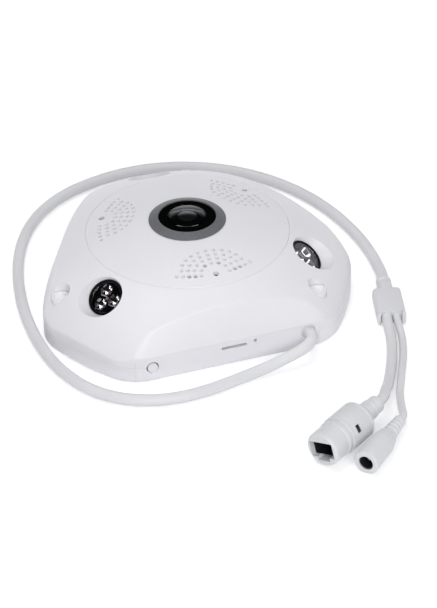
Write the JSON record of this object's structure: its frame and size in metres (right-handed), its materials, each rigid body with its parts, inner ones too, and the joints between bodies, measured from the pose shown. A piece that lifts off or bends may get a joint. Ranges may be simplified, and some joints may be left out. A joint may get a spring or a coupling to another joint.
{
  "type": "panoramic wi-fi camera",
  "caption": "Ceiling-mount panoramic camera with a fisheye lens, infra-red lamps in a lobed white housing, and a cable that splits into network and power sockets.",
  "frame": {"origin": "on the lens axis in the plane of the mounting face", "axes": "+Z out of the lens, away from the ceiling or wall; -Y towards the front wall with the reset button, card slot and cable exit; +X towards the cable exit along that wall"},
  "size_m": [0.1705, 0.2596, 0.0432],
  "materials": {
    "shell": "satin off-white moulding with a slight lavender cast",
    "cable_sheath": "satin white vinyl",
    "connector_plastic": "satin off-white moulding",
    "bezel": "satin grey paint with a fine speckle",
    "black_plastic": "matt black",
    "lens_glass": "polished and coated",
    "lamp_window": "clear and glossy",
    "chromed_plastic": "bright metallized faces",
    "emitter": "clear dome over an amber die",
    "circuit_board": "green solder mask",
    "chip": "matt moulding compound",
    "can_metal": "plain tinned sheet",
    "contact_gold": "thin gold plating",
    "screw_steel": "zinc plated",
    "header_plastic": "natural nylon"
  },
  "bodies": {
    "camera": {"top_cover": "shell", "centre_plate": "shell", "base_plate": "shell", "screw_plugs": "shell", "case_screws": "screw_steel", "cable_grommet": "cable_sheath", "lens_bezel_ring": "bezel", "lens_retaining_ring": "black_plastic", "lens_front_glass": "lens_glass", "lens_barrel": "black_plastic", "lens_holder": "black_plastic", "image_sensor": "chip", "lamp_cups": "black_plastic", "lamp_boards": "circuit_board", "lamp_reflectors": "chromed_plastic", "lamp_emitters": "emitter", "lamp_windows": "lamp_window", "loudspeaker": "black_plastic", "microphone": "can_metal", "light_sensor": "black_plastic", "main_board": "circuit_board", "processor": "chip", "memory_chip": "chip", "wifi_module": "can_metal", "wifi_antenna": "contact_gold", "card_socket": "can_metal", "reset_switch": "black_plastic", "cable_header": "header_plastic", "board_screws": "screw_steel", "main_cable": "cable_sheath", "cable_splitter": "cable_sheath", "network_cable": "cable_sheath", "power_cable": "cable_sheath", "network_strain_relief": "cable_sheath", "network_coupler": "connector_plastic", "network_insert": "black_plastic", "network_contacts": "contact_gold", "network_light": "black_plastic", "power_strain_relief": "cable_sheath", "power_jack": "connector_plastic", "power_sleeve": "black_plastic", "power_pin": "can_metal"},
    "button": {"reset_button": "shell"},
    "filter": {"day_night_filter": "black_plastic"}
  },
  "joints": [
    {"name": "reset_press", "type": "slide", "parent": "camera", "child": "button", "axis": [0, 1, 0], "range_m": [0, 0.0006], "stiffness_N_per_m": 400},
    {"name": "filter_shift", "type": "slide", "parent": "camera", "child": "filter", "axis": [1, 0, 0], "range_m": [0, 0.0072]}
  ]
}
